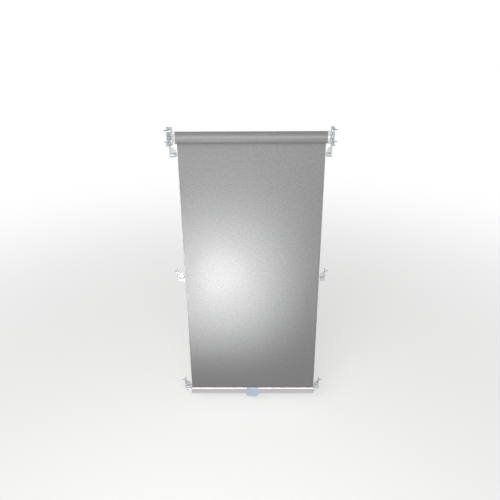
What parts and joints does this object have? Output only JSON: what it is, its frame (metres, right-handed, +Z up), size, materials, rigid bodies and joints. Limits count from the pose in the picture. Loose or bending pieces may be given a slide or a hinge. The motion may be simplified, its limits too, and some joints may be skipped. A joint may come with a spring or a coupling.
{
  "type": "blackout roller blind",
  "caption": "Blackout roller blind: cloth wound on a sprung tube between clear side brackets, with a bottom bar whose end pegs catch on clear hooks.",
  "frame": {"origin": "the middle of the roller's axis, half way along the cloth's width", "axes": "X along the roller, +Z up along the hanging cloth, -Y towards the room and +Y towards the pane"},
  "size_m": [0.403, 0.0445, 0.7832],
  "materials": {
    "clear_plastic": "polished, see-through",
    "zinc_plated_steel": "bright zinc plate",
    "spring_steel": "oiled wire",
    "grey_plastic": "moulded",
    "white_plastic": "satin white",
    "pale_blue_plastic": "satin pale blue",
    "blackout_cloth": "coated grey polyester with a soft sheen",
    "aluminium": "satin anodised"
  },
  "bodies": {
    "sash_fittings": {"bracket_left": "clear_plastic", "bracket_right": "clear_plastic", "bracket_screw_left_1": "zinc_plated_steel", "bracket_screw_left_2": "zinc_plated_steel", "bracket_screw_right_1": "zinc_plated_steel", "bracket_screw_right_2": "zinc_plated_steel", "hook_top_left": "clear_plastic", "hook_top_right": "clear_plastic", "hook_middle_left": "clear_plastic", "hook_middle_right": "clear_plastic", "hook_bottom_left": "clear_plastic", "hook_bottom_right": "clear_plastic", "hook_screw_top_left": "zinc_plated_steel", "hook_screw_top_right": "zinc_plated_steel", "hook_screw_middle_left": "zinc_plated_steel", "hook_screw_middle_right": "zinc_plated_steel", "hook_screw_bottom_left": "zinc_plated_steel", "hook_screw_bottom_right": "zinc_plated_steel", "spring_spindle": "zinc_plated_steel", "spring_anchor": "grey_plastic", "torsion_spring": "spring_steel"},
    "roller": {"roller_tube": "aluminium", "fabric_roll": "blackout_cloth", "drive_end_cap": "white_plastic", "idle_end_cap": "white_plastic", "spring_driver": "grey_plastic", "pin_spring": "spring_steel", "pin_spring_seat": "white_plastic"},
    "sprung_pin": {"idle_pin": "white_plastic"},
    "hanging_cloth": {"blackout_fabric": "blackout_cloth"},
    "bar": {"bottom_bar": "aluminium", "fabric_spline": "white_plastic", "bar_end_cap_left": "white_plastic", "bar_end_cap_right": "white_plastic", "bar_peg_left": "clear_plastic", "bar_peg_right": "clear_plastic", "pull_handle": "pale_blue_plastic"}
  },
  "joints": [
    {"name": "cloth_swing", "type": "hinge", "parent": "sash_fittings", "child": "hanging_cloth", "pos_m": [0, 0.01392, 0], "axis": [1, 0, 0], "range_deg": [-8, 1.3]},
    {"name": "bar_lift", "type": "slide", "parent": "hanging_cloth", "child": "bar", "axis": [0, 0, 1], "range_m": [0, 0.7], "deforming": ["blackout_fabric"]},
    {"name": "roller_spin", "type": "hinge", "parent": "sash_fittings", "child": "roller", "pos_m": [0, 0, 0], "axis": [1, 0, 0], "range_deg": [0, 2882]},
    {"name": "pin_slide", "type": "slide", "parent": "roller", "child": "sprung_pin", "axis": [-1, 0, 0], "range_m": [0, 0.0045], "stiffness_N_per_m": 400, "springref_m": -0.003, "deforming": ["pin_spring"]}
  ],
  "couplings": [
    {"joint": "roller_spin", "follows": "bar_lift", "rad_per_m": 71.852}
  ]
}
